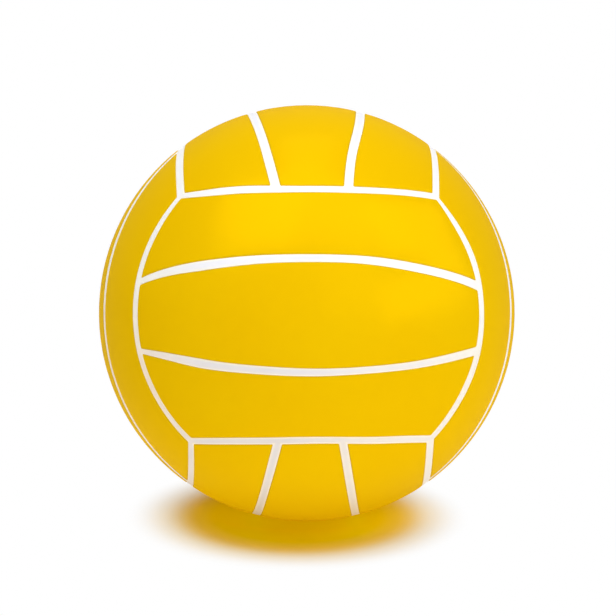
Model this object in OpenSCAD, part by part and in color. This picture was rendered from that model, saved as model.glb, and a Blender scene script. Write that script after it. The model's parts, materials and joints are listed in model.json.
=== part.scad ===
// Water polo ball: a butyl bladder wound in nylon, a white rubber carcass whose moulded
// ribs are the white lines, and 18 yellow rubber panels bedded between those ribs.
// The origin is the centre of the ball, +Z is up and the front face looks along -Y.

/* [Ball] */
// Diameter over the crowns of the panels
ball_d = 220; // [200:1:240]
// Angle by which the ball lies rolled back, so that its front face looks up
roll_back = 16; // [0:1:90]

/* [Panels] */
// Thickness of a panel
panel_t = 1.2; // [0.9:0.05:2]
// Angle that the middle strip of a face takes up, seen from the centre of the ball
middle_strip_angle = 30; // [24:1:36]
// Height and width of the rolled edge round a panel
edge_roll = 0.6; // [0.4:0.05:1]

/* [Lines] */
// Width of a white line, which is a rib of the carcass
line_w = 4.6; // [3:0.1:8]
// How far a line lies below the crowns of the panels
line_sink = 0.3; // [0.1:0.05:0.5]

/* [Carcass, winding and bladder] */
// Thickness of the carcass under the panels
bed_t = 0.55; // [0.4:0.05:1.5]
// Thickness of the nylon winding
winding_t = 0.3; // [0.2:0.05:1]
// Thickness of the bladder
bladder_t = 0.5; // [0.4:0.05:1.5]

/* [Valve] */
// Diameter of the neck that passes out through the wall of the ball
neck_d = 9; // [8.5:0.25:12]
// How far the mouth of the valve lies below the crown of its panel
mouth_sink = 0.3; // [0.1:0.05:0.5]
// Diameter of the flange bonded inside the bladder
flange_d = 26; // [18:1:40]
// Thickness of the flange
flange_t = 1.2; // [0.8:0.1:2]
// Length of the stem inside the flange
stem_l = 14; // [13:0.5:20]
// Diameter of the tip of the stem
stem_tip_d = 8; // [7.75:0.25:8.5]
// Diameter of the plug's shank
plug_d = 5.5; // [4:0.25:6]
// Length of the plug
plug_l = 13; // [11:0.5:13.5]
// How far the plug's collar stands out all round
collar_h = 0.6; // [0.3:0.1:0.7]
// Length of the plug's collar
collar_l = 2; // [1:0.25:3]
// Depth of the collar's top under the mouth
collar_depth = 5; // [3:0.25:6]
// Length of the plug's tapered tip
tip_l = 2.5; // [1:0.25:3.5]
// Diameter of the end of the plug's tip
tip_d = 3.2; // [2:0.2:3.4]
// Diameter of the guide hole for the inflation needle
guide_d = 2; // [1.6:0.1:2.4]
// Length of the guide hole's straight wall
guide_l = 6; // [4:0.5:7]
// Diameter of the funnel at the guide hole's mouth
funnel_d = 3.2; // [2.6:0.1:3.6]
// Depth of the funnel
funnel_l = 0.6; // [0.3:0.1:1]
// Diameter of the air passage in the stem
air_d = 2.4; // [1:0.1:3]

/* [Clearances] */
// Gap between two bonded layers
bond_gap = 0.05; // [0.02:0.01:0.1]
// Gap between the edge of a panel and the line beside it
seat_gap = 0.15; // [0.05:0.05:0.4]
// Gap all round the valve plug
plug_gap = 0.05; // [0.02:0.01:0.1]

/* [Hidden] */
$fn = 180;
overrun = 1;

// Radii of the layers, from the crown inwards
ball_r = ball_d / 2;
panel_in_r = ball_r - panel_t;
line_r = ball_r - line_sink;
bed_r = panel_in_r - bond_gap;
carcass_in_r = bed_r - bed_t;
winding_out_r = carcass_in_r - bond_gap;
winding_in_r = winding_out_r - winding_t;
bladder_out_r = winding_in_r - bond_gap;
bladder_in_r = bladder_out_r - bladder_t;
flange_out_r = bladder_in_r - bond_gap;
flange_in_r = flange_out_r - flange_t;
reach = ball_r + overrun;

// The seams round a face meet at the corners of a cube drawn inside the ball
corner_angle = acos(1 / sqrt(3));
middle_half_angle = middle_strip_angle / 2;

// The walls of the panels stand back from the middle of a seam, and so do those of their beds
bed_inset = line_w / 2;
panel_inset = bed_inset + seat_gap;

// A panel's edge is rolled over by an arc that leans a little on the crown and the wall
edge_lean_angle = 15;
roll_size = min(edge_roll, panel_t - seat_gap);
roll_r = roll_size / (sqrt(2) * sin(45 - edge_lean_angle));
roll_centre = roll_r * cos(edge_lean_angle);

// Places along the valve's axis, from the centre of the ball
mouth_z = ball_r - mouth_sink;
stem_end_z = flange_in_r - stem_l;
plug_end_z = mouth_z - plug_l;
collar_top_z = mouth_z - collar_depth;
collar_end_z = collar_top_z - collar_l;

panel_colour = "#F9C905";
line_colour = "#F4F4F2";
winding_colour = "#D8D2C2";
bladder_colour = "#2A2A2C";
valve_colour = "#1E1E20";
plug_colour = "#3C3C40";

// Each face: its name, its quarter and third turns from the front, and its strips' names
FACES = [
    ["front", 0, 0, ["upper", "middle", "lower"]],
    ["back", 180, 0, ["upper", "middle", "lower"]],
    ["bottom", 0, 1, ["right", "middle", "left"]],
    ["top", 180, 1, ["right", "middle", "left"]],
    ["left", 0, 2, ["rear", "middle", "fore"]],
    ["right", 180, 2, ["rear", "middle", "fore"]]
];
STRIPS = [1, 0, -1];

function panel_name(face, strip) = str("panel_", face[0], "_", face[3][1 - strip]);

// Carries a piece from the ball's own frame to the way the ball lies
module as_it_lies() {
    rotate([-roll_back, 0, 0]) children();
}

// Carries a piece from the front face to another face
module on_face(face) {
    rotate(a = 120 * face[2], v = [1, 1, 1])
        rotate([0, 0, face[1]])
            children();
}

// Carries a piece drawn along +Z to the valve's axis, at the middle of the back face
module on_valve_axis() {
    rotate([-90, 0, 0]) children();
}

// A closed layer of the wall
module layer(out_r, in_r) {
    difference() {
        sphere(r = out_r);
        sphere(r = in_r);
    }
}

// The hole that the valve's neck passes through
module neck_hole(gap) {
    on_valve_axis() cylinder(h = reach, d = neck_d + 2 * gap);
}

// All that lies within the ring of seams round +Z, less a margin
module seam_cone(inset) {
    apex = inset / sin(corner_angle);
    height = reach - apex;
    translate([0, 0, apex])
        cylinder(h = height, r1 = 0, r2 = height * tan(corner_angle));
}

// All that lies more than a margin above the plane of an inner seam
module above_seam(angle, inset) {
    rotate([angle, 0, 0])
        translate([-reach, -reach, inset])
            cube([2 * reach, 2 * reach, reach]);
}

// The wedge of the front face that one strip takes up, a margin inside its seams
module strip_wedge(strip, inset) {
    if (strip == 0)
        intersection() {
            rotate([90, 0, 0]) seam_cone(inset);
            above_seam(middle_half_angle, inset);
            above_seam(180 - middle_half_angle, inset);
        }
    else
        rotate([0, strip > 0 ? 0 : 180, 0])
            difference() {
                intersection() {
                    rotate([90, 0, 0]) seam_cone(inset);
                    above_seam(-middle_half_angle, inset);
                }
                seam_cone(-inset);
            }
}

// The cutter that rolls a panel's edge over, along a seam at a polar angle from +Z.
// The panel lies on the +Z side of the seam.
module edge_cutter(polar) {
    rotate_extrude()
        rotate(90 - polar)
            translate([ball_r - roll_centre, panel_inset])
                difference() {
                    translate([0, -overrun])
                        square([roll_centre + overrun, roll_centre + overrun]);
                    translate([0, roll_centre]) circle(r = roll_r);
                }
}

// The cutters for all the edges of one strip of the front face
module edge_cutters(strip) {
    rotate([90, 0, 0]) edge_cutter(corner_angle);
    if (strip == 0) {
        rotate([middle_half_angle, 0, 0]) edge_cutter(90);
        rotate([180 - middle_half_angle, 0, 0]) edge_cutter(90);
    } else
        rotate([0, strip > 0 ? 0 : 180, 0]) {
            rotate([-middle_half_angle, 0, 0]) edge_cutter(90);
            rotate([180, 0, 0]) edge_cutter(180 - corner_angle);
        }
}

// One strip of the front face: a crowned rubber panel with rolled edges
module strip_panel(strip) {
    difference() {
        intersection() {
            sphere(r = ball_r);
            strip_wedge(strip, panel_inset);
        }
        sphere(r = panel_in_r);
        edge_cutters(strip);
    }
}

// One of the 18 panels. The middle one of the back face has the valve's hole.
module panel(face, strip) {
    color(panel_colour)
        as_it_lies()
            difference() {
                on_face(face) strip_panel(strip);
                if (face[0] == "back" && strip == 0)
                    neck_hole(seat_gap);
            }
}

// The white rubber layer: a ball with 18 sunk beds, whose ribs between them are the lines
module ribbed_carcass() {
    color(line_colour)
        as_it_lies()
            difference() {
                sphere(r = line_r);
                for (face = FACES)
                    for (strip = STRIPS)
                        on_face(face)
                            difference() {
                                strip_wedge(strip, bed_inset);
                                sphere(r = bed_r);
                            }
                sphere(r = carcass_in_r);
                neck_hole(bond_gap);
            }
}

// The layer of nylon thread that keeps the ball round
module nylon_winding() {
    color(winding_colour)
        as_it_lies()
            difference() {
                layer(winding_out_r, winding_in_r);
                neck_hole(bond_gap);
            }
}

// The butyl bladder that holds the air
module bladder() {
    color(bladder_colour)
        as_it_lies()
            difference() {
                layer(bladder_out_r, bladder_in_r);
                neck_hole(bond_gap);
            }
}

// The plug's outline as a solid of revolution, with a margin all round it
module plug_form(gap) {
    shank_r = plug_d / 2 + gap;
    collar_r = shank_r + collar_h;
    rotate_extrude()
        polygon([
            [0, plug_end_z - gap],
            [tip_d / 2 + gap, plug_end_z - gap],
            [shank_r, plug_end_z + tip_l - gap],
            [shank_r, collar_end_z - gap],
            [collar_r, collar_end_z - gap],
            [collar_r, collar_top_z + gap],
            [shank_r, collar_top_z + gap],
            [shank_r, mouth_z + (gap > 0 ? overrun : 0)],
            [0, mouth_z + (gap > 0 ? overrun : 0)]
        ]);
}

// The rubber housing: a flange inside the bladder, a neck out to the panel and a stem
module valve_housing() {
    color(valve_colour)
        as_it_lies()
            on_valve_axis()
                difference() {
                    union() {
                        intersection() {
                            layer(flange_out_r, flange_in_r);
                            cylinder(h = reach, d = flange_d);
                        }
                        translate([0, 0, flange_in_r])
                            cylinder(h = mouth_z - flange_in_r, d = neck_d);
                        translate([0, 0, stem_end_z])
                            cylinder(h = flange_in_r - stem_end_z, d1 = stem_tip_d, d2 = neck_d);
                    }
                    plug_form(plug_gap);
                    translate([0, 0, stem_end_z - overrun])
                        cylinder(h = plug_end_z - stem_end_z + overrun, d = air_d);
                }
}

// The soft plug that seals itself round the needle, with the needle's guide hole
module valve_plug() {
    color(plug_colour)
        as_it_lies()
            on_valve_axis()
                difference() {
                    plug_form(0);
                    translate([0, 0, mouth_z - funnel_l - guide_l])
                        cylinder(h = guide_l + funnel_l, d = guide_d);
                    translate([0, 0, mouth_z - funnel_l])
                        cylinder(h = funnel_l, d1 = guide_d, d2 = funnel_d);
                }
}

bladder();
valve_housing();
valve_plug();
nylon_winding();
ribbed_carcass();
for (face = FACES)
    for (strip = STRIPS)
        panel(face, strip);
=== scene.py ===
# %% [markdown]
# # A water polo ball
# The ball is a rubber skin over a nylon winding and a bladder. Eighteen yellow panels are
# bedded on a white rubber carcass, and the carcass shows between them as white lines.
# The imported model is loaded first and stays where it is. It gives every size used below,
# so the pieces made here are in metres and in the same place as the solids.

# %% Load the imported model
import functools
import json
import math
import random

import bpy
import numpy as np
from mathutils import Matrix, Vector


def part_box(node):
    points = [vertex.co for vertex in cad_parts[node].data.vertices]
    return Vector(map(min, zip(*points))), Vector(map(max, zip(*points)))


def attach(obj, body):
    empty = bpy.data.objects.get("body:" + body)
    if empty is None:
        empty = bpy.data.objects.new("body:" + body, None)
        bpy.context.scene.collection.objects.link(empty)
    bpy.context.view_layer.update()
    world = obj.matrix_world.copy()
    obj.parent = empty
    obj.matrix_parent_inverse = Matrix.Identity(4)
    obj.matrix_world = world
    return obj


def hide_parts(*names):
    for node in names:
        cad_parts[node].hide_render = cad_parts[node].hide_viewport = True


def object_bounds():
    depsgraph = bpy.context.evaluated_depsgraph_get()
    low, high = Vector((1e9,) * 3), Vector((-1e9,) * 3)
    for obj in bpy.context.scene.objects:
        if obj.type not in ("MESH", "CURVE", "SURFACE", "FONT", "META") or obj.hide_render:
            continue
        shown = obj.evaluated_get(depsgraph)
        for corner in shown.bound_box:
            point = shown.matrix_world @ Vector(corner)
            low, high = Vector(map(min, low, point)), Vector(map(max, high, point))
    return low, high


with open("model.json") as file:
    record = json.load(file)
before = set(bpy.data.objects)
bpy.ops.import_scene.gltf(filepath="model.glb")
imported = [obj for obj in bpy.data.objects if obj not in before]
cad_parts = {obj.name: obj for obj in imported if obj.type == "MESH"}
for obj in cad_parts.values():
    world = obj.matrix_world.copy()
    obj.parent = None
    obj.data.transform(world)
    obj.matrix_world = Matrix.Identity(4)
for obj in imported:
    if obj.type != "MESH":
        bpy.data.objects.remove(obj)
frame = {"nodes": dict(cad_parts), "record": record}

cad_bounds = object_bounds()
print("the solids' box is", [[round(v, 4) for v in corner] for corner in cad_bounds])

# %% [markdown]
# ## Sizes from the solids
# A closed round layer has its radius in its box: half the width along X. The ribs of the
# carcass reach further than its beds, and the beds lie on the X axis, so the box gives both.
# The valve's mount says which way the ball lies, because the valve is at the middle of the
# back face and that face looks straight back before the ball is rolled.

# %% Read the radii and the lie of the ball
MM = 0.001


def reach_of(node, axis):
    low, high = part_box(node)
    return (high[axis] - low[axis]) / 2


ball_r = (cad_bounds[1][0] - cad_bounds[0][0]) / 2
bed_r = reach_of("ribbed_carcass", 0)
line_r = reach_of("ribbed_carcass", 1)
winding_r = reach_of("nylon_winding", 0)
panel_t = 1.2 * MM
bond_gap = 0.05 * MM
panel_in_r = ball_r - panel_t
carcass_in_r = winding_r + bond_gap

mounts = {mount["name"]: mount for mount in frame["record"]["mounts"]}
valve_axis = Vector(mounts["needle_guide"]["axis"])
roll_back = math.atan2(-valve_axis.z, valve_axis.y)
lie = Matrix.Rotation(-roll_back, 3, "X")
to_lie = np.array(lie)
print("radii in mm: ball %.2f, lines %.2f, beds %.2f" % (ball_r / MM, line_r / MM, bed_r / MM))
print("the ball lies rolled back by %.1f degrees" % math.degrees(roll_back))

# %% [markdown]
# ## The camera
# The photograph was taken from far away with a long lens, so the ball shows a whole
# half of itself. The distance and the lens come from how round the lines look, and the
# height from the shadow, which shows in front of the ball. The picture is 616 pixels
# square, and the ball's centre and radius in it are driving values.

# %% Place the camera
frame_px = 616
ball_centre_px = (306.8, 313.1)
ball_radius_px = 208.2
camera_distance = 2.39
camera_turn = math.radians(-1.17)
camera_lift = math.radians(0.35)
camera_roll = math.radians(0.4)
sensor_mm = 36.0

focal_px = ball_radius_px * math.sqrt((camera_distance / ball_r) ** 2 - 1)
camera_data = bpy.data.cameras.new("camera")
camera_data.sensor_width = sensor_mm
camera_data.lens = focal_px / frame_px * sensor_mm
camera_data.clip_end = 50
camera = bpy.data.objects.new("camera", camera_data)
bpy.context.scene.collection.objects.link(camera)

from_ball = Vector((0, -camera_distance, 0))
from_ball.rotate(Matrix.Rotation(-camera_lift, 3, "X"))
from_ball.rotate(Matrix.Rotation(camera_turn, 3, "Z"))
from_ball.rotate(lie)
facing = (-from_ball).to_track_quat("-Z", "Y").to_matrix()
px_angle = math.atan(1 / focal_px)
aim_across = (frame_px / 2 - ball_centre_px[0]) * px_angle
aim_up = (ball_centre_px[1] - frame_px / 2) * px_angle
aim = Matrix.Rotation(-aim_across, 3, "Y") @ Matrix.Rotation(aim_up, 3, "X")
turned = facing @ aim @ Matrix.Rotation(camera_roll, 3, "Z")
camera.matrix_world = Matrix.Translation(from_ball) @ turned.to_4x4()
bpy.context.scene.camera = camera
print("lens %.1f mm at %.2f m, %.1f degrees above the floor" % (
    camera_data.lens, camera_distance, math.degrees(math.asin(from_ball.z / camera_distance))))

# %% [markdown]
# ## Helpers for materials
# A colour is written as the hex value that a picture editor shows, and one function turns
# it into the linear light that Blender works in. A second function adds a node and gives
# it its settings, values, links and colour stops. A node given as an input stands for its
# first output. The nodes that come up often get functions of their own, so a material
# reads as a list of what it does.

# %% Colours and nodes


def linear(code):
    channels = [int(code[i:i + 2], 16) / 255 for i in (1, 3, 5)]
    return tuple(c / 12.92 if c <= 0.04045 else ((c + 0.055) / 1.055) ** 2.4 for c in channels) + (1.0,)


white = (1.0, 1.0, 1.0, 1.0)


def add_node(tree, kind, inputs=None, stops=(), **settings):
    node = tree.nodes.new("ShaderNode" + kind)
    for name, value in settings.items():
        setattr(node, name, value)
    for name, value in (inputs or {}).items():
        if isinstance(value, str):
            value = linear(value)
        if isinstance(value, bpy.types.Node):
            value = next(output for output in value.outputs if output.enabled)
        if isinstance(value, bpy.types.NodeSocket):
            tree.links.new(value, node.inputs[name])
        else:
            node.inputs[name].default_value = value
    for i, (position, code) in enumerate(stops):
        elements = node.color_ramp.elements
        stop = elements[i] if i < 2 else elements.new(position)
        stop.position, stop.color = position, linear(code)
    return node


def new_material(name):
    """An empty material, its tree and the place on the object."""
    material = bpy.data.materials.new(name)
    material.use_nodes = True
    tree = material.node_tree
    tree.nodes.clear()
    return material, tree, add_node(tree, "TexCoord").outputs["Object"]


print("the hex value #808080 is", round(linear("#808080")[0], 3), "in linear light")

# %% Nodes that come up often


def mix(tree, factor, a, b, **how):
    return add_node(tree, "Mix", {"Factor": factor, "A": a, "B": b}, data_type="RGBA", **how)


def maths(tree, operation, a, b, kind="Math"):
    return add_node(tree, kind, {0: a, 1: b}, operation=operation)


def fade(tree, value, low, high, start=0.0, stop=1.0, **how):
    """Start where the value is low or less, stop where it is high or more."""
    return add_node(tree, "MapRange", {"Value": value, "From Min": low, "From Max": high,
                                       "To Min": start, "To Max": stop}, **how)


def per_metre(size_mm):
    return 1 / (size_mm * MM)


def noise(tree, place, size_mm, detail, roughness=0.5):
    return add_node(tree, "TexNoise", {"Vector": place, "Scale": per_metre(size_mm),
                                       "Detail": detail, "Roughness": roughness})


def finish_material(tree, colour, height, strength, depth_mm, roughness, more=None):
    """Ends a material with a skin of the given colour, roughened by a height."""
    bump = add_node(tree, "Bump", {"Height": height, "Strength": strength, "Distance": depth_mm * MM})
    skin = add_node(tree, "BsdfPrincipled", {
        "Base Color": colour, "Roughness": roughness, "IOR": 1.52, "Normal": bump, **(more or {})})
    add_node(tree, "OutputMaterial", {"Surface": skin})


print("a grain of 1 mm is a texture scale of", per_metre(1))

# %% [markdown]
# ## Yellow panel rubber
# The panels are pressed from a soft, heavily coloured rubber in a polished mould that has
# only a faint grain, so wet hands can hold the ball. The yellow is deep and even. Rubber
# has an IOR of about 1.52, but the photograph shows no white sheen, not even at the rim:
# the soft boxes lie in the skin in its own yellow. So the clear reflection is switched
# off, and a twentieth of the skin reflects in its own colour, as a metal would. A noise a
# few centimetres wide gives the slight unevenness of a panel that was bedded by hand, and
# a fine cell pattern gives the grain. The rolled edge is painted a darker, greener yellow:
# painted shade of the groove beside the lines. The mesh carries it as a value that fades from the edge.

# %% Make the panel rubber


def panel_rubber():
    material, tree, place = new_material("pressed_yellow_rubber")
    cloud = noise(tree, place, 60, 1.0, 0.4)
    body = mix(tree, cloud, "#EDBB02", "#EEC103")
    edge = add_node(tree, "Attribute", attribute_name="edge").outputs["Fac"]
    # Painted shade: the rolled edge is a darker, greener yellow, as the groove beside the line would be
    # in shade
    painted_edge_shade = mix(tree, edge, body, "#DCB412")
    # The grain's cells are about 0.9 mm across and 0.01 mm deep
    grain = add_node(tree, "TexVoronoi", {"Vector": place, "Scale": per_metre(0.9)}, feature="SMOOTH_F1")
    gloss = fade(tree, cloud, 0.0, 1.0, 0.14, 0.26)
    finish_material(tree, painted_edge_shade, grain, 0.25, 0.02, gloss, {
        "Metallic": 0.05, "Specular IOR Level": 0.0})
    return material


yellow_rubber = panel_rubber()
print("made", yellow_rubber.name)

# %% [markdown]
# ## White carcass rubber
# The carcass is natural rubber filled with titanium white, moulded and left as it comes
# from the press. The tint changes slowly over the ball: a ramp from left to right is cream
# at both sides and lavender between them, and a second one, mixed in over the lower half,
# is painted light, the warm yellow light thrown up from below onto the lower lines.
# The edges of the lines are painted a brighter, warmer white than their middles, a painted
# highlight along each edge, and the surface is satin with a faint mottle a few millimetres wide.

# %% Make the carcass rubber


def carcass_rubber():
    material, tree, place = new_material("moulded_white_rubber")
    apart = add_node(tree, "SeparateXYZ", {"Vector": place})
    # From the left side of the ball to the right one
    across = fade(tree, apart.outputs["X"], -ball_r, ball_r)
    tint = add_node(tree, "ValToRGB", {"Fac": across}, stops=(
        (0.02, "#FFF6E2"), (0.12, "#FFFCF4"), (0.24, "#F8F7FC"), (0.45, "#F0F0F9"),
        (0.75, "#F2F1F9"), (0.92, "#FFFCF9")))
    # From 32 mm above the ball's middle to 20 mm below it
    lower = fade(tree, apart.outputs["Z"], 32 * MM, -20 * MM, interpolation_type="SMOOTHSTEP")
    # Painted bounce light: the lines over the lower half are tinted warmer, as yellow light from below
    # would make them
    painted_bounce_tint = add_node(tree, "ValToRGB", {"Fac": across}, stops=(
        (0.12, "#FFEBDF"), (0.25, "#F1EAE2"), (0.45, "#F5EDE1"), (0.63, "#FFF5E2"), (0.85, "#FFF9EA")))
    toned = mix(tree, 1.0, tint, mix(tree, lower, white, painted_bounce_tint), blend_type="MULTIPLY")
    dulled = mix(tree, noise(tree, place, 7, 4.0, 0.55), "#F7F7F7", white)
    core = mix(tree, 1.0, toned, dulled, blend_type="MULTIPLY")
    # Painted highlight: the edges of the lines are a brighter, warmer white, warmer still over the lower
    # half
    painted_edge_highlight = mix(tree, lower, "#FFFDF0", "#FFF3DC")
    edge = add_node(tree, "Attribute", attribute_name="edge").outputs["Fac"]
    body = mix(tree, edge, core, painted_edge_highlight)
    finish_material(tree, body, noise(tree, place, 0.8, 2.0), 0.3, 0.02, 0.35)
    return material


white_rubber = carcass_rubber()
print("made", white_rubber.name)

# %% [markdown]
# ## The hidden layers and the valve
# Butyl rubber is black from its carbon and greyed by the talc that keeps it from sticking.
# Nylon thread is wound in great circles, so it shows as crossing bands with a soft sheen.
# The valve is a harder black rubber, and its plug is a soft grey one that heals itself.
# The solids of these pieces have the right shapes, so they stay and only get materials.

# %% Make the inner materials


def dusty_rubber(name, dark, dusty, dust_mm, roughness):
    material, tree, place = new_material(name)
    dust = noise(tree, place, dust_mm, 6.0, 0.65)
    finish_material(tree, mix(tree, dust, dark, dusty), dust, 0.2, 0.05, roughness)
    return material


def wound_nylon():
    material, tree, place = new_material("wound_nylon_thread")
    # A thread is 0.3 mm thick. The bands are drawn at 1.2 mm, so that they show.
    bands = []
    for direction in ("X", "Z"):
        band = add_node(tree, "TexWave", {
            "Vector": place, "Scale": per_metre(1.2) / (2 * math.pi), "Distortion": 2.0, "Detail": 2.0},
            wave_type="BANDS", bands_direction=direction)
        bands.append(band.outputs["Fac"])
    crossing = maths(tree, "MAXIMUM", *bands)
    finish_material(tree, mix(tree, crossing, "#A89F8A", "#E6E0D0"), crossing, 0.6, 0.1, 0.45, {
        "IOR": 1.53})
    return material


inner_materials = {
    "bladder": dusty_rubber("talced_butyl_rubber", "#1A1A1C", "#4A4A4C", 6, 0.62),
    "nylon_winding": wound_nylon(),
    "valve_housing": dusty_rubber("moulded_black_rubber", "#131314", "#26262A", 3, 0.42),
    "valve_plug": dusty_rubber("soft_grey_rubber", "#2C2C30", "#46464C", 2, 0.55),
}
for node, material in inner_materials.items():
    solid = frame["nodes"][node]
    solid.data.materials.clear()
    solid.data.materials.append(material)
    print(node, "is", material.name)

# %% [markdown]
# ## The seams as a net on the ball
# Each face has three strips. Its ends lie on a ring round the face's own axis, and its
# long sides on the rings of its neighbours, so three seams meet at each corner of a cube
# drawn inside the ball. Two inner seams part the strips. A real ball's panels are laid by
# hand, so each seam bends a little: a corner or a junction is shifted by a millimetre or
# two, and between them the seam swings aside. A seam is a function of its own length, from
# 0 to 1, which gives points on a unit ball. Everything else is built from these functions.

# %% The regular layout
corner_height = 1 / math.sqrt(3)
ring_radius = math.sqrt(2 / 3)
middle_half = math.radians(15)
inner_end = math.acos(corner_height / math.cos(middle_half))
junction_turn = math.atan2(math.cos(inner_end) * math.sin(middle_half), math.sin(inner_end))

X, Y, Z = np.eye(3)
# Each face: its outward axis, the axis along its strips, the axis across them, and the
# names of its strips from the low side to the high side across
FACES = {
    "front": (-Y, X, Z, ("lower", "middle", "upper")),
    "back": (Y, -X, Z, ("lower", "middle", "upper")),
    "bottom": (-Z, Y, X, ("left", "middle", "right")),
    "top": (Z, -Y, X, ("left", "middle", "right")),
    "left": (-X, Z, Y, ("fore", "middle", "rear")),
    "right": (X, -Z, Y, ("fore", "middle", "rear")),
}


def face_towards(axis):
    return next(name for name, face in FACES.items() if np.dot(face[0], axis) > 0.5)


def unit(vectors):
    return vectors / np.linalg.norm(vectors, axis=-1, keepdims=True)


print("inner seams end", round(math.degrees(inner_end), 2), "degrees from the middle of a face")

# %% [markdown]
# ## How the seams were laid by hand
# The values below are in millimetres on the ball, read off the photograph for the seams
# that show. A corner's shift is along X, Y and Z. A junction's shift is along the seam
# that it ends on. A seam's swing is given at equal steps between its two ends, towards the
# face that owns it, or towards the high side for an inner seam. The seams nearest the
# ball's outline show only as slivers, so theirs are estimates. The seams that the
# photograph doesn't show get small shifts and swings in the next cell.

# %% Corners, junctions, swings and widths
corner_shift = {
    (-1, -1, 1): (-2.3, 1.2, -3.3),
    (1, -1, 1): (1.0, 0.0, -3.7),
    (-1, -1, -1): (1.2, -1.2, -3.55),
    (1, -1, -1): (-0.1, 0.0, -1.8),
}
junction_shift = {
    ("front", "left", 1): 2.4,
    ("front", "right", 1): 0.1,
    ("front", "left", -1): 1.2,
    ("front", "right", -1): 0.5,
    ("top", "front", -1): 0.7,
    ("top", "front", 1): 2.7,
    ("bottom", "front", -1): -0.25,
    ("bottom", "front", 1): -0.55,
    ("left", "top", -1): 3.0,
    ("left", "bottom", -1): 2.0,
    ("right", "top", -1): 8.0,
    ("right", "top", 1): 3.0,
}
ring_swing = {
    ("top", "front"): (1.41, 2.85, 3.07, 3.10, 3.00, 2.55, 1.69),
    ("bottom", "front"): (0.01, -0.13, -0.25, -0.53, -0.32, -0.05, -0.25),
    ("front", "left"): (0.10, 0.15, 0.04, 0.15, 0.18, 0.30, 0.39),
    ("front", "right"): (0.95, 1.15, 1.03, 1.20, 1.08, 0.90, 1.30),
    ("left", "top"): (1.6, 0.95, 0.5),
    ("right", "top"): (1.2, 0.9, 0.4),
    ("left", "bottom"): (-0.5, -0.35, -0.1),
    ("right", "bottom"): (0.1, 0.1, 0.0),
}
inner_swing = {
    ("front", 1): (1.45, 1.57, 2.01, 2.17, 2.46, 1.80, 1.09),
    ("front", -1): (1.46, 1.15, 1.13, 0.75, 0.85, 0.70, 0.69),
    ("top", -1): (-0.40, -0.30, -0.45, -0.60, -0.42, 0.15, 0.33),
    ("top", 1): (-0.3, -0.6, -1.0, -1.4, -1.7, -1.75, -2.2),
    ("bottom", -1): (1.1, 1.2, 0.4),
    ("bottom", 1): (-2.15, -1.95, -0.8),
    ("left", -1): (0.3, -0.5, -0.2),
    ("right", -1): (-1.1, -1.4, -0.1),
}
# The width of a line at equal steps from its start to its end
width_mm = {
    ("top", "front"): (3.4, 4.7, 4.5, 3.8, 3.8, 3.8, 3.9),
    ("bottom", "front"): (3.9, 4.3, 4.3, 4.6, 4.9),
    ("front", "left"): (4.7, 4.0, 4.1, 4.1, 4.1, 4.2, 3.4),
    ("front", "right"): (4.3, 4.6, 5.1, 4.8, 4.5, 4.9, 5.1, 4.6, 2.6),
    ("left", "top"): (5.0, 5.0, 5.4),
    ("right", "top"): (4.2, 4.0, 4.2),
    ("left", "bottom"): (3.4, 3.7, 3.9),
    ("right", "bottom"): (4.5, 4.6, 4.7),
    ("front", 1): (3.0, 5.0, 4.3, 4.2, 4.7, 4.6),
    ("front", -1): (2.5, 4.9, 4.6, 3.8, 4.0, 4.2),
    ("top", -1): (4.7, 5.0, 4.6),
    ("top", 1): (4.6, 4.9, 4.8),
    ("bottom", -1): (4.5, 4.2, 4.3),
    ("bottom", 1): (4.2, 4.3, 4.5),
    ("left", -1): (5.0, 4.9, 4.7, 4.3, 5.4, 5.8, 5.2),
    ("right", -1): (5.2, 5.2, 5.2),
}
print("laid by hand:", len(corner_shift), "corners,", len(junction_shift), "junctions and",
      len(width_mm), "seams")

# %% [markdown]
# ## The seams that don't show
# The back of the ball was laid by the same hands, so its seams stray as much as the ones
# in front. Left regular, they would look drawn by a ruler. A random source with a fixed
# seed gives each a millimetre or less, the same every time.

# %% Small shifts for the rest
hand = random.Random(7)
hidden_shift_mm = 1.0
plain_width_mm = 4.4


def small_shift():
    return hand.uniform(-hidden_shift_mm, hidden_shift_mm)


for key in [(x, y, z) for x in (-1, 1) for y in (-1, 1) for z in (-1, 1)]:
    if key not in corner_shift:
        corner_shift[key] = tuple(small_shift() for _ in range(3))
for name, (out, along, across, strips) in FACES.items():
    for end in (-1, 1):
        other = face_towards(end * along)
        ring_swing.setdefault((name, other), tuple(small_shift() for _ in range(3)))
        for side in (-1, 1):
            junction_shift.setdefault((name, other, side), small_shift())
    for side in (-1, 1):
        inner_swing.setdefault((name, side), tuple(small_shift() for _ in range(3)))
print(len(corner_shift), "corners,", len(junction_shift), "junctions,",
      len(ring_swing) + len(inner_swing), "seams")

# %% [markdown]
# ## Ring seams
# A ring seam starts from its circle, is carried with its two corners and then swings. The
# swing is a sum of sine waves, which is zero at both ends and has no kinks, where straight
# pieces between the given values would show as corners.

# %% Curves of the ring seams


@functools.lru_cache(maxsize=None)
def swing_waves(values):
    """The heights of the sine waves that pass through values at equal steps and end at zero."""
    counts = np.arange(1, len(values) + 1)
    steps = counts / (len(values) + 1)
    return np.linalg.solve(np.sin(np.pi * np.outer(steps, counts)), values)


def swing(values, share):
    waves = swing_waves(values)
    counts = np.arange(1, len(waves) + 1)
    return np.sin(np.pi * share * counts) @ waves[:, None] * MM / ball_r


def corner_vector(axis_sum):
    key = tuple(int(round(v)) for v in axis_sum)
    return np.array(corner_shift[key]) * MM / ball_r


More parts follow.
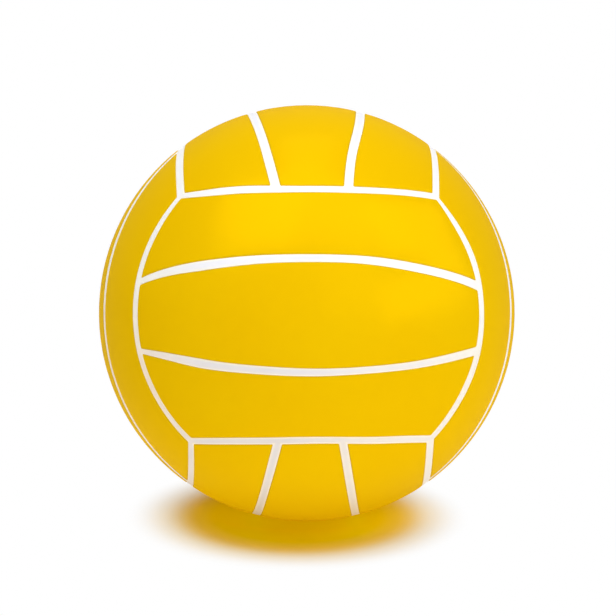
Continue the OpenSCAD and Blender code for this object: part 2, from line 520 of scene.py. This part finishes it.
def ring_seam(name, other, u):
    out, along, across, _ = FACES[name]
    end = 1 if face_towards(along) == other else -1
    turn = (np.asarray(u, float)[:, None] - 0.5) * math.pi / 2
    base = corner_height * out + ring_radius * (np.cos(turn) * end * along + np.sin(turn) * across)
    low = corner_vector(out + end * along - across)
    high = corner_vector(out + end * along + across)
    share = np.asarray(u, float)[:, None]
    inward = unit(out - (base @ out)[:, None] * base)
    aside = swing(ring_swing[(name, other)], share) * inward
    return unit(base + (1 - share) * low + share * high + aside)



def in_mm(direction):
    return [round(v * ball_r / MM, 1) for v in direction]


print("halfway, the seam above the front is at", in_mm(ring_seam("top", "front", [0.5])[0]), "mm")

# %% [markdown]
# ## Inner seams and widths
# An inner seam starts from its great circle and is carried with the two junctions that it
# ends on, so it always meets the ring seams, wherever those have been laid. The line's
# half width is given at equal steps and wanders a little between them, as the trimming
# knife did.

# %% Curves of the inner seams, and the width of a line
# The knife's wander as shares of the width: a slow wave and a quicker one, with their rates
knife_waves = ((0.035, 5, 1), (0.02, 17, 2))


def junction_place(name, other, side):
    """How far along its ring seam an inner seam ends, from 0 to 1."""
    ring_length = ring_radius * ball_r * math.pi / 2
    regular = 0.5 + side * junction_turn / (math.pi / 2)
    return regular + junction_shift[(name, other, side)] * MM / ring_length


def inner_base(name, side, share):
    out, along, across, _ = FACES[name]
    turn = (2 * share - 1) * inner_end
    middle = math.cos(middle_half) * out + side * math.sin(middle_half) * across
    return np.sin(turn) * along + np.cos(turn) * middle


@functools.lru_cache(maxsize=None)
def inner_ends(name, side):
    """How far the two ends of an inner seam are carried by the seams that they meet."""
    along = FACES[name][1]
    carried = []
    for share, end in ((0.0, -1), (1.0, 1)):
        other = face_towards(end * along)
        place = ring_seam(name, other, [junction_place(name, other, side)])[0]
        carried.append(place - inner_base(name, side, share))
    return carried


def inner_seam(name, side, u):
    out, along, across, _ = FACES[name]
    near, far = inner_ends(name, side)
    share = np.asarray(u, float)[:, None]
    lateral = math.cos(middle_half) * across - side * math.sin(middle_half) * out
    aside = swing(inner_swing[(name, side)], share) * lateral
    return unit(inner_base(name, side, share) + (1 - share) * near + share * far + aside)


def half_width(key, u):
    widths = width_mm.get(key, (plain_width_mm, plain_width_mm))
    width = np.interp(u, np.linspace(0, 1, len(widths)), widths)
    phase = sum(ord(letter) for letter in str(key))
    wander = sum(size * np.sin(rate * np.asarray(u) + turn * phase) for size, rate, turn in knife_waves)
    return width / 2 * MM * (1 + wander)


print("halfway, the upper front seam is at", in_mm(inner_seam("front", 1, [0.5])[0]), "mm")

# %% [markdown]
# ## The cells between the seams
# Each strip lies in a cell with four sides, and a side is a stretch of a seam. The points
# along a side crowd towards its ends, so that corners can be rounded there, and the long
# stretches between get only as many as they need. Neighbouring cells use the same shares,
# so they have the same points along the seam between them.

# %% Where the points of a side lie
end_steps_mm = (0.0, 0.35, 0.8, 1.4, 2.4, 4.2)
plain_step_mm = 4.0


def crowded(length_mm):
    """Shares of a side from 0 to 1, close together near both ends."""
    first, last = end_steps_mm[-1], length_mm - end_steps_mm[-1]
    count = max(1, round((last - first) / plain_step_mm))
    middle = [first + (last - first) * i / count for i in range(count + 1)]
    places = list(end_steps_mm[:-1]) + middle + [length_mm - step for step in reversed(end_steps_mm[:-1])]
    return np.array(places) / length_mm


ring_mm = ring_radius * ball_r / MM * math.pi / 2
outer_shares = crowded(ring_mm * (0.5 - junction_turn / (math.pi / 2)))
middle_shares = crowded(ring_mm * 2 * junction_turn / (math.pi / 2))


def long_shares(low, high):
    """Shares of a whole side, crowded at its ends and at the two junctions on it."""
    parts = ((0.0, low, outer_shares), (low, high, middle_shares), (high, 1.0, outer_shares))
    joined = [start + (stop - start) * shares[:-1] for start, stop, shares in parts]
    return np.append(np.concatenate(joined), 1.0)


plain_low = junction_turn / (math.pi / 2)
plain_long = long_shares(0.5 - plain_low, 0.5 + plain_low)
print("points on a short side:", len(middle_shares), "or", len(outer_shares))
print("points on a long side:", len(plain_long))

# %% [markdown]
# ## A side that can be set in
# A side is wanted at many distances from its seam: at the edge of the line, at the wall of
# the panel, and ring by ring further in. One offset of the whole curve wouldn't do,
# because the line's width changes along it, so each point is moved at right angles to the
# seam by its own distance. Where two set-in sides meet is found by stepping along both
# until their points fall together.

# %% One side, and where two sides meet
slope_step = 0.0005
meeting_step = 1e-4
meeting_tries = 8


class Side:
    """A stretch of a seam from one place on it to another, as one cell sees it."""

    def __init__(self, curve, key, start, stop, shares, middle):
        self.curve, self.key, self.start, self.stop, self.shares = curve, key, start, stop, shares
        here, there = curve([0.5 * (start + stop) - 0.01, 0.5 * (start + stop) + 0.01])
        self.inward = 1 if np.dot(np.cross(here, there - here), middle - here) > 0 else -1

    def inset(self, u, by):
        u = np.asarray(u, float)
        points, ahead, behind = self.curve(u), self.curve(u + slope_step), self.curve(u - slope_step)
        lateral = self.inward * unit(np.cross(points, ahead - behind))
        width_share, distance = by
        move = (width_share * half_width(self.key, u) + distance) / ball_r
        return unit(points + move[:, None] * lateral)


def meeting(first, u, second, v, by):
    """Where two set-in sides meet, as places along each."""
    for _ in range(meeting_tries):
        a, a_next = first.inset([u, u + meeting_step], by)
        b, b_next = second.inset([v, v + meeting_step], by)
        slopes = np.stack([(a_next - a) / meeting_step, -(b_next - b) / meeting_step], axis=1)
        du, dv = np.linalg.lstsq(slopes, b - a, rcond=None)[0]
        u, v = u + du, v + dv
    return u, v


print("two sides are set to meet in", meeting_tries, "steps")

# %% [markdown]
# ## The four sides of a strip
# A middle strip lies between two inner seams, and an outer strip between an inner seam and
# the ring of a neighbouring face. The sides are asked for by name rather than listed for
# all eighteen strips, because the pattern is the same on every face.

# %% The sides of one cell
# How far an outer strip's middle leans away from its face's axis
strip_lean = 0.45


def cell_sides(name, strip):
    """The four sides of a cell: low, far end, high, near end. Strip is -1, 0 or 1 across."""
    out, along, across, _ = FACES[name]
    middle = unit(out + strip * strip_lean * across)
    ends = {}
    for end in (-1, 1):
        other = face_towards(end * along)
        cuts = [0.0, junction_place(name, other, -1), junction_place(name, other, 1), 1.0]
        ends[end] = (other, cuts[strip + 1], cuts[strip + 2])

    def end_side(end, forward):
        other, low, high = ends[end]
        shares = middle_shares if strip == 0 else outer_shares
        start, stop = (low, high) if forward else (high, low)
        return Side(lambda u: ring_seam(name, other, u), (name, other), start, stop, shares, middle)

    def long_side(level, forward):
        """Level is -2, -1, 1 or 2: a neighbour's ring seam at 2, an inner seam at 1."""
        if abs(level) == 1:
            start, stop = (0.0, 1.0) if forward else (1.0, 0.0)
            return Side(lambda u: inner_seam(name, level, u), (name, level), start, stop,
                        plain_long, middle)
        owner = face_towards(level * across)
        cuts = [junction_place(owner, name, -1), junction_place(owner, name, 1)]
        same_way = (np.dot(FACES[owner][2], along) > 0) == forward
        shares = long_shares(*cuts)
        if not same_way:
            shares = 1 - shares[::-1]
        start, stop = (0.0, 1.0) if same_way else (1.0, 0.0)
        return Side(lambda u: ring_seam(owner, name, u), (owner, name), start, stop, shares, middle)

    low_level, high_level = {-1: (-2, -1), 0: (-1, 1), 1: (1, 2)}[strip]
    return [long_side(low_level, True), end_side(1, True),
            long_side(high_level, False), end_side(-1, False)]


print("the front middle strip lies between", [side.key for side in cell_sides("front", 0)])

# %% [markdown]
# ## Loops and patches
# A loop is a closed ring of points set in from a strip's four sides. Its corners are bent
# onto small curves, because a knife can't cut a sharp inner corner in rubber. The patch
# that fills a loop blends its four sides, so its rows run with the strip. A plain fan of
# triangles would pinch the crown in the middle.

# %% Loops, rounded corners and patches
tangent_points = 4
corner_points = 8


def cell_loop(sides, by, corner_mm=0.0):
    """One closed ring of points set in from a cell's seams, and how many lie on each side."""
    places = []
    for i, side in enumerate(sides):
        following = sides[(i + 1) % 4]
        places.append(meeting(side, side.stop, following, following.start, by))
    points = []
    for i, side in enumerate(sides):
        start, stop = places[i - 1][1], places[i][0]
        points.append(side.inset(start + (stop - start) * side.shares, by)[:-1])
    counts = [len(part) for part in points]
    loop = np.concatenate(points)
    if corner_mm > 0:
        loop = round_corners(loop, counts, corner_mm * MM / ball_r)
    return loop, counts


def round_corners(loop, counts, radius):
    """Bends the points near each corner onto a curve that starts a radius away from it."""
    rounded = loop.copy()
    total, corner = len(loop), 0
    for count in counts:
        tip = loop[corner]
        tangents = []
        for step in (-1, 1):
            towards = unit(loop[(corner + tangent_points * step) % total] - tip)
            tangents.append(tip + towards * radius)
        for step in range(-corner_points, corner_points + 1):
            i = (corner + step) % total
            away = np.linalg.norm(loop[i] - tip)
            if away < radius:
                t = 0.5 + math.copysign(0.5 * away / radius, step) if step else 0.5
                rounded[i] = (1 - t) ** 2 * tangents[0] + 2 * t * (1 - t) * tip + t ** 2 * tangents[1]
        corner += count
    return unit(rounded)


def four_sides(loop, counts):
    """A loop's sides low, far, high and near, each of them from its low or near end."""
    closed = np.append(loop, loop[:1], axis=0)
    ends = np.append(0, np.cumsum(counts))
    low, far, high, near = (closed[start:stop + 1] for start, stop in zip(ends, ends[1:]))
    return low, far, high[::-1], near[::-1]


def fill_grid(loop, counts):
    """A patch of points that spans a loop: rows across by columns along."""
    low, far, high, near = four_sides(loop, counts)

    def travelled(line):
        length = np.cumsum(np.append(0, np.linalg.norm(np.diff(line, axis=0), axis=1)))
        return length / length[-1]

    s = 0.5 * (travelled(low) + travelled(high))[None, :, None]
    t = 0.5 * (travelled(near) + travelled(far))[:, None, None]
    ruled_long = (1 - t) * low[None] + t * high[None]
    ruled_short = (1 - s) * near[:, None] + s * far[:, None]
    corners = ((1 - t) * (1 - s) * low[0] + (1 - t) * s * low[-1]
               + t * (1 - s) * high[0] + t * s * high[-1])
    return unit(ruled_long + ruled_short - corners)


front_counts = cell_loop(cell_sides("front", 0), (1.0, 0.0))[1]
print("the front middle cell has", front_counts, "points on its sides")

# %% [markdown]
# ## Building a mesh from loops
# A piece is a stack of loops with quads between neighbours, closed by a patch. A small
# builder keeps the points and faces, and turns them to the way the ball lies. Its patch
# can leave out a square of quads in the middle, for the valve.

# %% The mesh builder
gap_quads = 3
sharp_angle = math.radians(40)


class Builder:
    def __init__(self):
        self.points, self.faces, self.edge = [], [], []

    def add(self, directions, radii, edge=0.0):
        """Adds points at a radius along each direction, and returns their numbers."""
        directions = np.asarray(directions).reshape(-1, 3)
        first = len(self.points)
        radii = np.broadcast_to(radii, len(directions))
        self.points.extend((directions * radii[:, None]).tolist())
        self.edge.extend([edge] * len(directions))
        return list(range(first, first + len(directions)))

    def band(self, outer, inner, flip=False):
        """Quads between two loops with as many points."""
        total = len(outer)
        for i in range(total):
            j = (i + 1) % total
            quad = (outer[i], outer[j], inner[j], inner[i])
            self.faces.append(quad[::-1] if flip else quad)

    def patch(self, loop, counts, grid, radius, flip=False, hole_at=None):
        """Fills a loop of numbers with a grid, and returns the square gap round a hole."""
        n_long, n_short = counts[0], counts[1]
        ids = np.zeros((n_short + 1, n_long + 1), int)
        inner = self.add(grid[1:-1, 1:-1], radius(grid[1:-1, 1:-1].reshape(-1, 3)))
        ids[1:-1, 1:-1] = np.array(inner).reshape(n_short - 1, n_long - 1)
        ids[0], ids[:, -1], ids[-1], ids[:, 0] = four_sides(loop, counts)
        gap = None
        if hole_at is not None:
            away = np.linalg.norm(grid - hole_at, axis=2) * ball_r
            row, column = np.unravel_index(np.argmin(away), away.shape)
            gap = (row - gap_quads, row + gap_quads, column - gap_quads, column + gap_quads)
        for j in range(n_short):
            for i in range(n_long):
                if gap and gap[0] <= j < gap[1] and gap[2] <= i < gap[3]:
                    continue
                quad = (ids[j, i], ids[j, i + 1], ids[j + 1, i + 1], ids[j + 1, i])
                self.faces.append(tuple(int(k) for k in (quad[::-1] if flip else quad)))
        if gap is None:
            return None
        low, high, left, right = gap
        square = [ids[low, i] for i in range(left, right)]
        square += [ids[j, right] for j in range(low, high)]
        square += [ids[high, i] for i in range(right, left, -1)]
        square += [ids[j, left] for j in range(high, low, -1)]
        return [int(k) for k in square]

    def piece(self, name, material):
        mesh = bpy.data.meshes.new(name)
        turned = np.array(self.points) @ to_lie.T
        mesh.from_pydata(turned.tolist(), [], self.faces)
        mesh.attributes.new("edge", "FLOAT", "POINT").data.foreach_set("value", self.edge)
        mesh.shade_smooth()
        mesh.set_sharp_from_angle(angle=sharp_angle)
        mesh.materials.append(material)
        mesh.validate()
        made = bpy.data.objects.new(name, mesh)
        bpy.context.scene.collection.objects.link(made)
        return made


print("a hole leaves out", (2 * gap_quads) ** 2, "quads of the patch")

# %% [markdown]
# ## The round hole for the valve
# Triangles join the square gap in a patch to a circle, and more circles lead from there
# down to the hole, so that the skin stays round up to its rim. A boolean cut would leave
# long thin triangles there, and the shading would show them.

# %% From a square gap to a round hole
hole_points = 72
circle_steps_mm = (9.5, 7.8, 6.2)


def hole_circle(radius_mm, start_at):
    """Directions on a circle round the valve's axis, which is +Y here, starting near a point."""
    radius = radius_mm * MM / ball_r
    start = math.atan2(start_at[2], start_at[0])
    # Seen from behind the ball this runs anticlockwise, as the square gap does
    turns = start - np.arange(hole_points) * 2 * math.pi / hole_points
    height = np.full(hole_points, math.sqrt(1 - radius ** 2))
    return np.stack([radius * np.cos(turns), height, radius * np.sin(turns)], axis=1)


def collar(build, square, circle, flip=False):
    """Triangles from a square gap of points to a circle with several points for each."""
    ratio = len(circle) // len(square)
    half = ratio // 2
    faces = []
    for k, corner in enumerate(square):
        following = square[(k + 1) % len(square)]
        arc = [circle[(k * ratio + m) % len(circle)] for m in range(ratio + 1)]
        faces += [(corner, arc[m + 1], arc[m]) for m in range(half)]
        faces.append((corner, following, arc[half]))
        faces += [(following, arc[m + 1], arc[m]) for m in range(half, ratio)]
    build.faces += [face[::-1] for face in faces] if flip else faces


def open_hole(build, square, start_at, rims, flip=False):
    """Joins a square gap to circles, each with a radius in mm and a reach from the centre."""
    circles = []
    for radius_mm, reach, edge in rims:
        ring = hole_circle(radius_mm, start_at)
        circles.append(build.add(ring, reach(ring), edge))
    collar(build, square, circles[0], flip)
    for outer, inner in zip(circles, circles[1:]):
        build.band(outer, inner, flip)
    return circles[-1]


print("a hole's rim has", hole_points, "points")

# %% [markdown]
# ## The panels
# A panel is a skin 1.2 mm thick. Its wall stands just clear of the line, its edge is
# rolled over in a quarter circle, and its crown falls away softly towards the seams. The
# whole ball is also a little uneven, as every hand-made ball is: a few slow waves, each a
# fraction of a millimetre high, go into the crown's radius. A ball cut into panels and
# bevelled would be quicker, but it can't give every line its own place and width, so each
# panel is built ring by ring from its own four seams.

# %% Crown and edge
seat_gap_mm = 0.03
edge_roll_mm = 0.55
# How far in from the edge the painted shade of the rolled edge fades away
shade_mm = 0.9
corner_round_mm = 0.8
crown_fall_mm = 0.12
crown_fall_reach_mm = 3.0
wave_mm = 0.1
uneven = random.Random(19)
# Each wave has a direction, a count of bumps and a phase
waves = [(unit(np.array([uneven.gauss(0, 1) for _ in range(3)])), uneven.uniform(3, 7),
          uneven.uniform(0, 6.28)) for _ in range(9)]


def crown_radius(directions):
    total = sum(np.cos(count * (directions @ axis) + phase) for axis, count, phase in waves)
    return ball_r - wave_mm * MM * (1 + total / len(waves))


roll_steps = 6
rings = []
for i in range(roll_steps + 1):
    angle = math.pi / 2 * i / roll_steps
    rings.append((edge_roll_mm * (1 - math.cos(angle)), edge_roll_mm * (1 - math.sin(angle))))
rings += [(away, 0.0) for away in (1.3, 2.0, 3.2, 5.0)]
neck_r_mm = 4.65
print("a panel's edge has", len(rings), "rings")

# %% [markdown]
# ## One panel
# The rings go inwards from the wall over the rolled edge, and the patch fills the rest. A
# flat wall and an under side close the skin, so that the panel is a solid of its own, as
# thick as the real one. The panel with the valve gets a hole with the same rolled edge.

# %% Make one panel


# The share of painted groove shade: full at the panel's wall, gone shade_mm in from it
def dullness(away_mm):
    return max(0.0, 1 - away_mm / shade_mm)


def make_panel(name, strip):
    build = Builder()
    sides = cell_sides(name, strip)
    has_valve = name == "back" and strip == 0
    centre = FACES["back"][0] if has_valve else None

    def top_radius(depth_mm, away_mm):
        fall = depth_mm + crown_fall_mm * math.exp(-away_mm / crown_fall_reach_mm)
        return lambda directions: crown_radius(directions) - fall * MM

    loops = []
    for away, depth in rings:
        corner = max(corner_round_mm - away, 0.0)
        loop, counts = cell_loop(sides, (1.0, (seat_gap_mm + away) * MM), corner)
        loops.append(build.add(loop, top_radius(depth, away)(loop), dullness(away)))
    for outer, inner in zip(loops, loops[1:]):
        build.band(outer, inner)
    crown = top_radius(0.0, rings[-1][0])
    square = build.patch(loops[-1], counts, fill_grid(loop, counts), crown, hole_at=centre)

    wall_loop, counts = cell_loop(sides, (1.0, seat_gap_mm * MM), corner_round_mm)
    under = build.add(wall_loop, panel_in_r, 1.0)
    build.band(loops[0], under, flip=True)
    under_square = build.patch(under, counts, fill_grid(wall_loop, counts),
                               lambda directions: panel_in_r, flip=True, hole_at=centre)
    if has_valve:
        start_at = build.points[square[0]]
        rims = [(step, crown_radius, 0.0) for step in circle_steps_mm]
        for away, depth in reversed(rings[:roll_steps + 1]):
            rims.append((neck_r_mm + away, lambda ring, depth=depth: crown_radius(ring) - depth * MM,
                         dullness(away)))
        mouth = open_hole(build, square, start_at, rims)
        foot_rims = [(step, lambda ring: panel_in_r, 1.0) for step in circle_steps_mm + (neck_r_mm,)]
        foot = open_hole(build, under_square, start_at, foot_rims, flip=True)
        build.band(mouth, foot)
    return build


print("the valve's hole is", 2 * neck_r_mm, "mm across")

# %% [markdown]
# ## All eighteen panels
# Each panel takes the place of the solid with its name and rides on the ball's only body.

# %% Make the panels
panels = {}
for name, (out, along, across, strips) in FACES.items():
    for strip in (-1, 0, 1):
        node = "panel_%s_%s" % (name, strips[strip + 1])
        panel = make_panel(name, strip).piece("skin_" + node, yellow_rubber)
        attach(panel, "root")
        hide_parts(node)
        panels[node] = panel
print(len(panels), "panels,", sum(len(p.data.polygons) for p in panels.values()), "faces")

# %% [markdown]
# ## The carcass
# The carcass is one closed mesh. In every cell a strip of line runs from the seam's middle
# to the line's edge, the edge is eased over, a wall drops to the bed, and the bed spans
# the rest under the panel. Neighbouring cells have the same points along their seam, so
# merging them gives one skin. Its inside is a plain round wall. Displacing a sphere would
# make the edge of a line only as fine as the mesh, and here it is exact.

# %% Make the carcass
ease_mm = 0.08
weld_mm = 0.002
# Each ring: its share of the line's half width, its offset and its depth in mm, and how
# much painted highlight it gets at the line's edge
line_rings = [
    (0.0, 0.0, 0.0, 0.0),
    (0.5, 0.0, 0.0, 0.1),
    (0.75, 0.0, 0.0, 0.7),
    (1.0, -2 * ease_mm, 0.0, 1.0),
    (1.0, -0.9 * ease_mm, 0.25 * ease_mm, 1.0),
    (1.0, -0.25 * ease_mm, 0.9 * ease_mm, 1.0),
    (1.0, 0.0, 2 * ease_mm, 1.0),
]
bed_neck_mm = 4.55


def make_carcass():
    build = Builder()
    for name in FACES:
        for strip in (-1, 0, 1):
            sides = cell_sides(name, strip)
            loops = []
            for width_share, away, depth, painted_highlight_share in line_rings:
                corner = 0.0 if width_share < 1 else corner_round_mm + seat_gap_mm + away
                loop, counts = cell_loop(sides, (width_share, away * MM), max(0.0, corner))
                dip = line_r - depth * MM - (ball_r - crown_radius(loop))
                loops.append(build.add(loop, dip, painted_highlight_share))
            for outer, inner in zip(loops, loops[1:]):
                build.band(outer, inner)
            foot = build.add(loop, bed_r)
            build.band(loops[-1], foot)
            has_valve = name == "back" and strip == 0
            centre = FACES["back"][0] if has_valve else None
            square = build.patch(foot, counts, fill_grid(loop, counts),
                                 lambda directions: bed_r, hole_at=centre)
            inner_loop, counts = cell_loop(sides, (0.0, 0.0))
            lining = build.add(inner_loop, carcass_in_r)
            inner_square = build.patch(lining, counts, fill_grid(inner_loop, counts),
                                       lambda directions: carcass_in_r, flip=True, hole_at=centre)
            if has_valve:
                start_at = build.points[square[0]]
                steps = circle_steps_mm + (bed_neck_mm,)
                rims = [(step, lambda ring: bed_r, 0.0) for step in steps]
                inner_rims = [(step, lambda ring: carcass_in_r, 0.0) for step in steps]
                mouth = open_hole(build, square, start_at, rims)
                bottom = open_hole(build, inner_square, start_at, inner_rims, flip=True)
                build.band(mouth, bottom)
    return build


carcass = make_carcass().piece("ribbed_carcass_skin", white_rubber)
weld = carcass.modifiers.new("weld", "WELD")
weld.merge_threshold = weld_mm * MM
bpy.context.view_layer.objects.active = carcass
carcass.select_set(True)
bpy.ops.object.modifier_apply(modifier="weld")
carcass.select_set(False)
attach(carcass, "root")
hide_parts("ribbed_carcass")
print("the carcass has", len(carcass.data.polygons), "faces")

# %% [markdown]
# ## What only the eye sees
# A white background must not put more light on the ball. So its white is kept for rays
# that look at it: those of the camera, and those that gloss or glass sends on.

# %% Tell the rays apart


def looked_at(tree):
    """One for rays that look at a thing: the camera's, and those that gloss or glass sends on."""
    kinds = add_node(tree, "LightPath").outputs
    either = maths(tree, "MAXIMUM", kinds["Is Camera Ray"], kinds["Is Glossy Ray"])
    return maths(tree, "MAXIMUM", either, kinds["Is Transmission Ray"])


print("the background is white for camera, glossy and transmission rays")

# %% [markdown]
# ## The floor
# The ball lies on a plain pale floor that runs up to a white horizon. Under the ball the
# floor's colour is a painted shadow and a painted yellow bounce, the yellow that the ball
# throws on it, running from amber at the point of contact to pale a ball's radius away. A
# faint amber glow is painted light that stands for the light that goes to and fro between
# the two. From 50 mm out the floor turns to the pure white of the background. All of this
# is for rays that look at the floor, and the ball is lit by a plain pale one.

# %% Make the floor's material
floor_pale = "#F8F7F5"
bounce_reach = 0.106
shadow_middle = (-0.0045, -0.010, 0)
white_from, white_to = 0.050, 0.088
glow_middle = (-0.002, -0.006, 0)
glow_reach = 0.075
glow_strength = 0.38


def distance_from(tree, place, middle, scale):
    """How far a place is from a middle, after each axis is scaled."""
    apart = maths(tree, "SUBTRACT", place, middle, "VectorMath")
    scaled = maths(tree, "MULTIPLY", apart, scale, "VectorMath")
    return add_node(tree, "VectorMath", {0: scaled}, operation="LENGTH")


def floor_material():
    material, tree, place = new_material("pale_floor")
    seen = looked_at(tree)
    # The shadow is a little wider than it is deep
    away = distance_from(tree, place, shadow_middle, (0.95, 1, 0))
    # Painted shadow and yellow bounce: amber at the contact, pale a ball's radius away
    painted_bounce_ramp = add_node(tree, "ValToRGB", {"Fac": fade(tree, away, 0.0, bounce_reach)}, stops=(
        (0.38, "#ECD400"), (0.52, "#F4D858"), (0.65, "#F6E8B4"), (0.82, floor_pale)))
    painted_bounce_ramp.color_ramp.interpolation = "EASE"
    lit = add_node(tree, "BsdfDiffuse", {"Color": mix(tree, seen, floor_pale, painted_bounce_ramp)})
    far = fade(tree, away, white_from, white_to, interpolation_type="SMOOTHSTEP")
    background = add_node(tree, "Emission", {"Color": white, "Strength": 1.0})
    ground = add_node(tree, "MixShader", {
        "Fac": maths(tree, "MULTIPLY", far, seen), 1: lit, 2: background})
    # Painted light: an amber glow near the contact, seen only by rays that look at the floor
    spread = distance_from(tree, place, glow_middle, (0.85, 1.45, 0))
    near = fade(tree, spread, 0.0, glow_reach, glow_strength, 0.0, interpolation_type="SMOOTHSTEP")
    glow = add_node(tree, "Emission", {
        "Color": "#FCC800", "Strength": maths(tree, "MULTIPLY", near, seen)})
    both = add_node(tree, "AddShader", {0: ground, 1: glow})
    add_node(tree, "OutputMaterial", {"Surface": both})
    return material


pale_floor = floor_material()
print("made", pale_floor.name)

# %% [markdown]
# ## The floor's place
# One large square touches the ball's lowest point. It is stage, not part of the ball.

# %% Lay the floor
floor_z = cad_bounds[0][2]
floor_half = 6.0
floor_mesh = bpy.data.meshes.new("floor")
floor_corners = [(x * floor_half, y * floor_half, floor_z)
                 for x, y in ((-1, -1), (1, -1), (1, 1), (-1, 1))]
floor_mesh.from_pydata(floor_corners, [], [(0, 1, 2, 3)])
floor_mesh.materials.append(pale_floor)
floor = bpy.data.objects.new("floor", floor_mesh)
bpy.context.scene.collection.objects.link(floor)
print("the floor lies at", round(floor_z, 4))

# %% [markdown]
# ## Light
# The ball stands in a white room between soft boxes: a wide one overhead, one each at the
# upper left and behind, and two on the right, one above the other, whose borders cross
# the ball on a slant. In the photograph they show mostly as soft reflections, and the
# yellow under them is nearly even. So the work is shared out: five cards are seen only by
# the gloss, and three weaker lamps only light. A light table under the ball gives back
# what a pale floor would.

# %% Set the lights


def soft_box(name, place, size, watts, roll=0.0, lights=True, shows=True):
    data = bpy.data.lights.new(name, "AREA")
    data.shape = "RECTANGLE"
    data.size, data.size_y = size
    data.energy = watts
    lamp = bpy.data.objects.new(name, data)
    lamp.location = place
    aimed = (-Vector(place)).to_track_quat("-Z", "Y").to_matrix()
    lamp.rotation_euler = (aimed @ Matrix.Rotation(math.radians(roll), 3, "Z")).to_euler()
    lamp.visible_camera = False
    lamp.visible_diffuse = lights
    lamp.visible_glossy = shows
    bpy.context.scene.collection.objects.link(lamp)
    return lamp


# Each card: its name, place, size, watts and roll in degrees
for card in (
    ("overhead_card", (-0.09, -0.33, 1.36), (1.96, 1.07), 8.5, 9),
    ("left_card", (-0.6, -0.42, 1.22), (1.08, 0.95), 4.6, 37),
    ("rear_card", (0.0, 0.5, 1.31), (0.42, 0.87), 1.5, -2),
    ("right_card", (1.06, -0.07, 0.91), (1.11, 0.64), 5.0, -41),
    ("low_card", (1.27, -0.44, 0.38), (1.6, 0.52), 5.8, -6),
):
    soft_box(*card, lights=False)
lamp_size = (1.2, 1.2)
soft_box("overhead_lamp", (-0.3, -0.1, 1.5), lamp_size, 12.8, shows=False)
soft_box("front_lamp", (0.9, -1.9, 1.1), lamp_size, 17, shows=False)
soft_box("right_lamp", (1.4, -0.6, 1.1), lamp_size, 3.3, shows=False)
light_table = soft_box("light_table", (0, 0, floor_z + 1 * MM), lamp_size, 0.72, shows=False)
light_table.rotation_euler = (math.pi, 0, 0)

# %% [markdown]
# ## The room
# The world is a white room. It looks fully white, but lights the ball at less than half
# of that, so that the lamps can model the ball's roundness without any colour clipping.

# %% Set the world
room_strength = 0.41
world = bpy.data.worlds.new("white_room")
world.use_nodes = True
tree = world.node_tree
tree.nodes.clear()
strength = add_node(tree, "Mix", {
    "Factor": looked_at(tree), "A": room_strength, "B": 1.0}, data_type="FLOAT")
room = add_node(tree, "Background", {"Color": white, "Strength": strength})
add_node(tree, "OutputWorld", {"Surface": room})
bpy.context.scene.world = world
bpy.context.scene.view_settings.view_transform = "Standard"
print("the room lights the ball at", room_strength)
